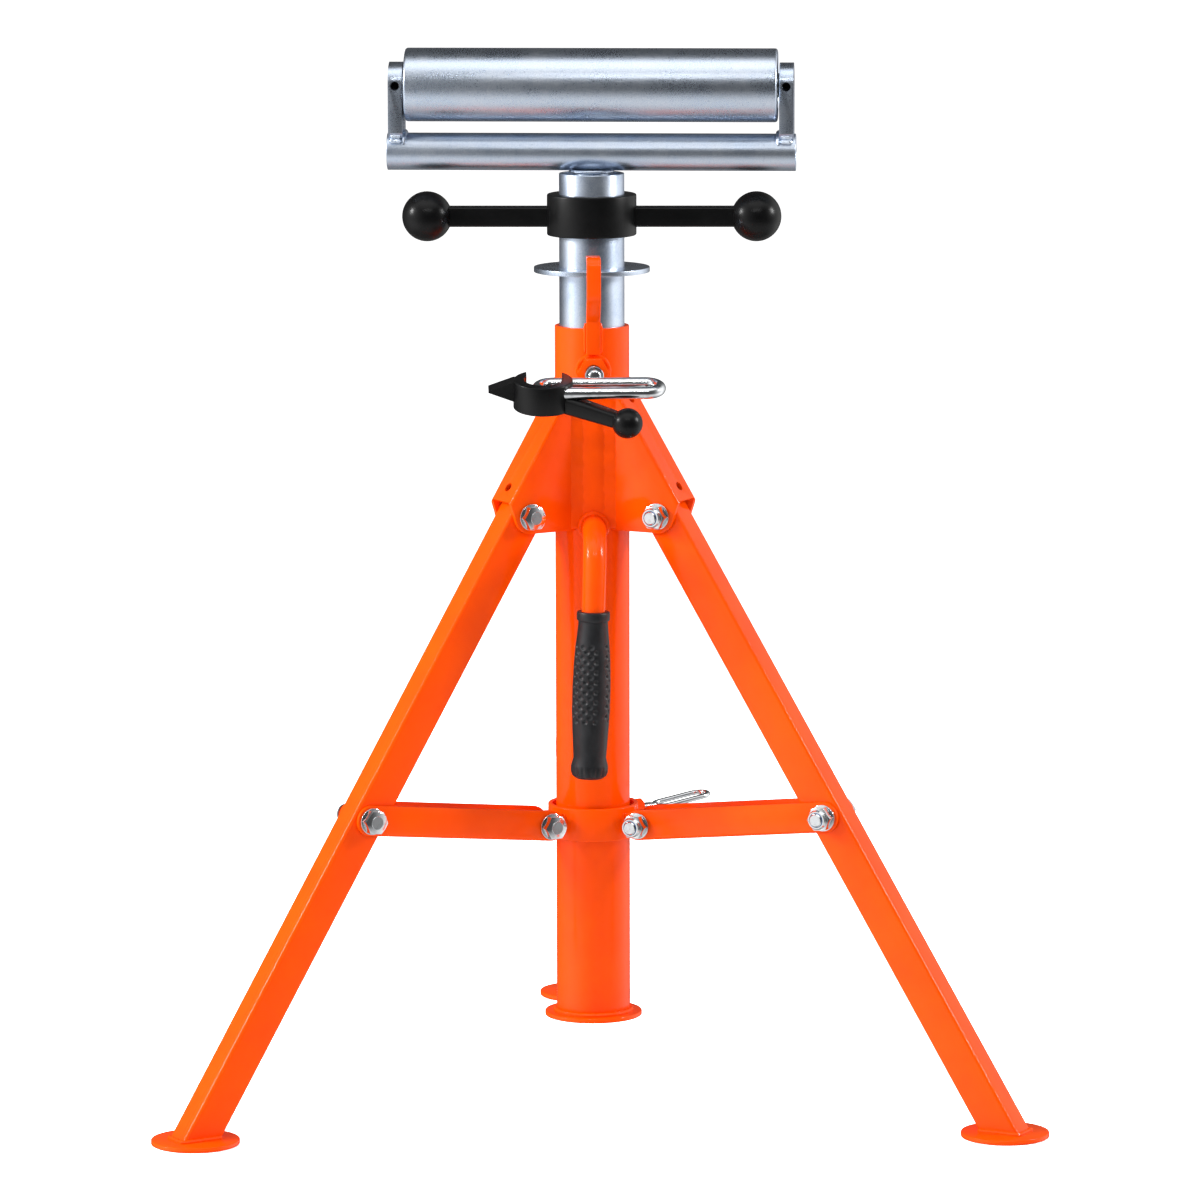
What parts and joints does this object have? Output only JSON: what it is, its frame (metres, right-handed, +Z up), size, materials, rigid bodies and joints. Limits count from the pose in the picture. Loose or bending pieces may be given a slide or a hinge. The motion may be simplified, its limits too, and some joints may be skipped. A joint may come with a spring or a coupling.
{
  "type": "roller stand",
  "caption": "Folding tripod stand with a screw-raised head that carries a horizontal steel roller, for supporting long pipe or stock.",
  "frame": {"origin": "centre of the footprint's bounding box on the floor; the post's axis stands at x 0, y -78.4 mm", "axes": "+Z up, -Y towards the side with the carry handle and the mast clamp, +X to the right seen from there"},
  "size_m": [0.603, 0.5302, 0.7206],
  "materials": {
    "orange_paint": "gloss powder coat",
    "zinc_plate": "blue-white zinc plate, satin",
    "bright_zinc": "bright zinc plate",
    "black_paint": "gloss",
    "black_plastic": "gloss",
    "grip_rubber": "matt moulded rubber",
    "dark_steel": "dark bearing shield"
  },
  "bodies": {
    "post": {"post_tube": "orange_paint", "post_base_disc": "orange_paint", "clamp_nut": "orange_paint", "retaining_hook": "orange_paint", "carry_handle": "orange_paint", "handle_grip": "grip_rubber", "leg_bracket_right": "orange_paint", "leg_bracket_back": "orange_paint", "leg_bracket_left": "orange_paint", "leg_pivot_bolt_right": "bright_zinc", "leg_pivot_bolt_back": "bright_zinc", "leg_pivot_bolt_left": "bright_zinc", "leg_pivot_nut_right": "bright_zinc", "leg_pivot_nut_back": "bright_zinc", "leg_pivot_nut_left": "bright_zinc"},
    "collar": {"slide_collar": "orange_paint", "collar_lock_nut": "orange_paint", "collar_bolt_right": "bright_zinc", "collar_bolt_back": "bright_zinc", "collar_bolt_left": "bright_zinc", "collar_nut_right": "bright_zinc", "collar_nut_back": "bright_zinc", "collar_nut_left": "bright_zinc"},
    "collar_lock": {"collar_lock_screw": "bright_zinc"},
    "mast": {"mast_tube": "zinc_plate", "mast_flange": "zinc_plate", "mast_nut": "zinc_plate", "t_handle": "black_paint", "handle_knob_left": "black_plastic", "handle_knob_right": "black_plastic"},
    "head": {"head_stem": "zinc_plate", "cross_tube": "zinc_plate", "roller_axle": "bright_zinc", "roller_lug_left": "zinc_plate", "roller_lug_right": "zinc_plate", "set_screw_left": "bright_zinc", "set_screw_right": "bright_zinc", "roller_spacer_left": "dark_steel", "roller_spacer_right": "dark_steel"},
    "roller": {"roller_shell": "zinc_plate", "roller_bearing_left": "dark_steel", "roller_bearing_right": "dark_steel"},
    "clamp": {"clamp_screw": "bright_zinc", "clamp_lever": "black_paint", "lever_ball": "black_plastic"},
    "leg_right": {"leg_tube_right": "orange_paint", "foot_disc_right": "orange_paint"},
    "brace_right": {"brace_right": "orange_paint", "brace_bolt_right": "bright_zinc", "brace_nut_right": "bright_zinc"},
    "leg_back": {"leg_tube_back": "orange_paint", "foot_disc_back": "orange_paint"},
    "brace_back": {"brace_back": "orange_paint", "brace_bolt_back": "bright_zinc", "brace_nut_back": "bright_zinc"},
    "leg_left": {"leg_tube_left": "orange_paint", "foot_disc_left": "orange_paint"},
    "brace_left": {"brace_left": "orange_paint", "brace_bolt_left": "bright_zinc", "brace_nut_left": "bright_zinc"}
  },
  "joints": [
    {"name": "collar_slide", "type": "slide", "parent": "post", "child": "collar", "axis": [0, 0, 1], "range_m": [0, 0.1213]},
    {"name": "leg_fold_right", "type": "hinge", "parent": "post", "child": "leg_right", "pos_m": [0.0498, -0.10718, 0.4055], "axis": [0.5, 0.866, 0], "range_deg": [0, 29.5]},
    {"name": "brace_fold_right", "type": "hinge", "parent": "collar", "child": "brace_right", "pos_m": [0.03594, -0.09918, 0.1905], "axis": [0.5, 0.866, 0], "range_deg": [0, 85.69]},
    {"name": "leg_fold_back", "type": "hinge", "parent": "post", "child": "leg_back", "pos_m": [0, -0.02093, 0.4055], "axis": [-1, 0, 0], "range_deg": [0, 29.5]},
    {"name": "brace_fold_back", "type": "hinge", "parent": "collar", "child": "brace_back", "pos_m": [0, -0.03693, 0.1905], "axis": [-1, 0, 0], "range_deg": [0, 85.69]},
    {"name": "leg_fold_left", "type": "hinge", "parent": "post", "child": "leg_left", "pos_m": [-0.0498, -0.10718, 0.4055], "axis": [0.5, -0.866, 0], "range_deg": [0, 29.5]},
    {"name": "brace_fold_left", "type": "hinge", "parent": "collar", "child": "brace_left", "pos_m": [-0.03594, -0.09918, 0.1905], "axis": [0.5, -0.866, 0], "range_deg": [0, 85.69]},
    {"name": "mast_turn", "type": "hinge", "parent": "post", "child": "mast", "pos_m": [0, -0.07843, 0.6058], "axis": [0, 0, 1], "range_deg": [-11700, 0]},
    {"name": "head_lift", "type": "slide", "parent": "post", "child": "head", "axis": [0, 0, 1], "range_m": [0, 0.26]},
    {"name": "roller_spin", "type": "hinge", "parent": "head", "child": "roller", "pos_m": [0, -0.07843, 0.6956], "axis": [0.9959, -0.0906, 0], "continuous": true},
    {"name": "clamp_turn", "type": "hinge", "parent": "post", "child": "clamp", "pos_m": [0, -0.07843, 0.5032], "axis": [0, -1, 0], "range_deg": [0, 720]},
    {"name": "collar_lock_turn", "type": "hinge", "parent": "collar", "child": "collar_lock", "pos_m": [0, -0.07843, 0.194], "axis": [0.866, 0.5, 0], "range_deg": [0, 720]}
  ],
  "couplings": [
    {"joint": "leg_fold_right", "follows": "collar_slide", "rad_per_m": 4.2446},
    {"joint": "brace_fold_right", "follows": "collar_slide", "rad_per_m": 12.329},
    {"joint": "leg_fold_back", "follows": "collar_slide", "rad_per_m": 4.2446},
    {"joint": "brace_fold_back", "follows": "collar_slide", "rad_per_m": 12.329},
    {"joint": "leg_fold_left", "follows": "collar_slide", "rad_per_m": 4.2446},
    {"joint": "brace_fold_left", "follows": "collar_slide", "rad_per_m": 12.329},
    {"joint": "head_lift", "follows": "mast_turn", "m_per_rad": -0.0012732}
  ]
}
